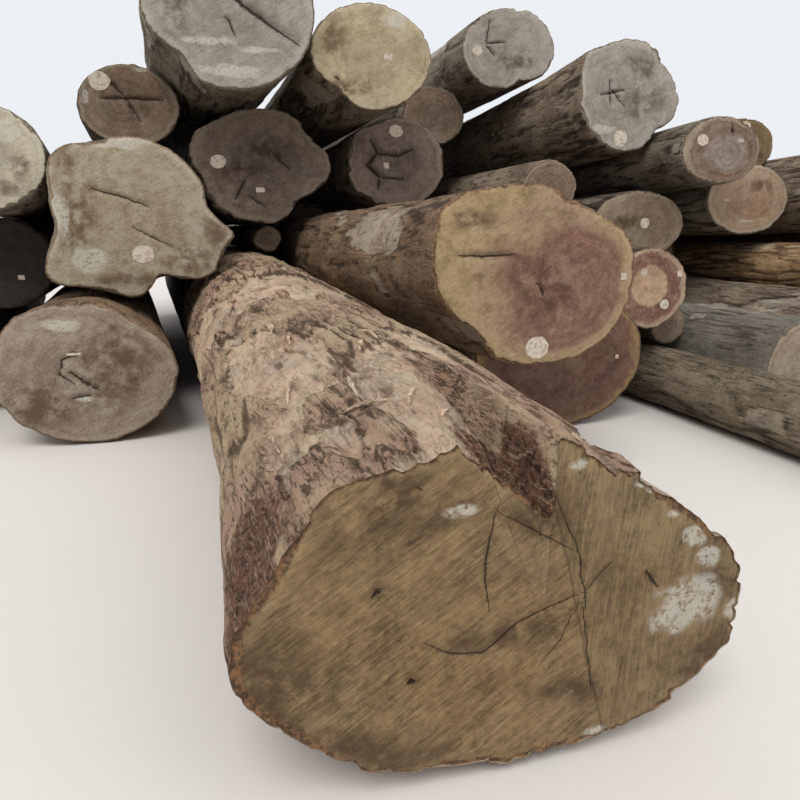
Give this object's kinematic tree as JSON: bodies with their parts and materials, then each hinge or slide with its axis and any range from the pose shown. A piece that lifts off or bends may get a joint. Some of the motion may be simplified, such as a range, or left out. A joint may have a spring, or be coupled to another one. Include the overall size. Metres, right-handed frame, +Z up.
{
  "type": "stack of round timber logs",
  "caption": "Stack of large round hardwood logs with bark and fluted butts, crosscut to one length and heaped in tiers, with one thick log lying out in front.",
  "frame": {"origin": "middle of the bounding box of the whole stack, on the floor that the bottom logs lie on", "axes": "+Z up; +Y along the logs, away from the butts that face the yard; +X to the right as seen from those butts"},
  "size_m": [10.8414, 13.77, 3.8721],
  "materials": {
    "olive_brown_wood": "weathered, rough sawn ends",
    "red_heart_wood": "weathered, rough sawn ends",
    "grey_wood": "weathered, rough sawn ends",
    "dark_wood": "weathered, rough sawn ends"
  },
  "bodies": {
    "root": {"back_log": "grey_wood", "bearer_log": "grey_wood", "brown_log": "red_heart_wood", "dark_end_log": "dark_wood", "dark_red_log": "red_heart_wood", "far_right_log": "grey_wood", "fluted_log": "dark_wood", "front_log": "olive_brown_wood", "greenish_log": "olive_brown_wood", "grey_log": "grey_wood", "heartwood_log": "red_heart_wood", "infill_log": "grey_wood", "left_log": "grey_wood", "left_rear_log": "grey_wood", "long_crack_log": "grey_wood", "middle_fill_log": "grey_wood", "mossy_thin_log": "grey_wood", "ochre_log": "grey_wood", "olive_log": "olive_brown_wood", "orange_log": "olive_brown_wood", "outer_fill_log": "grey_wood", "outer_log": "grey_wood", "pale_log": "grey_wood", "rear_heart_log": "grey_wood", "right_base_log": "grey_wood", "right_end_log": "grey_wood", "right_fill_log": "grey_wood", "ringed_log": "red_heart_wood", "small_back_log": "grey_wood", "small_top_log": "dark_wood", "smooth_log": "grey_wood", "speckled_log": "olive_brown_wood", "split_end_log": "red_heart_wood", "square_log": "grey_wood", "star_log": "olive_brown_wood", "two_ring_log": "red_heart_wood", "under_ring_log": "grey_wood"}
  },
  "joints": []
}
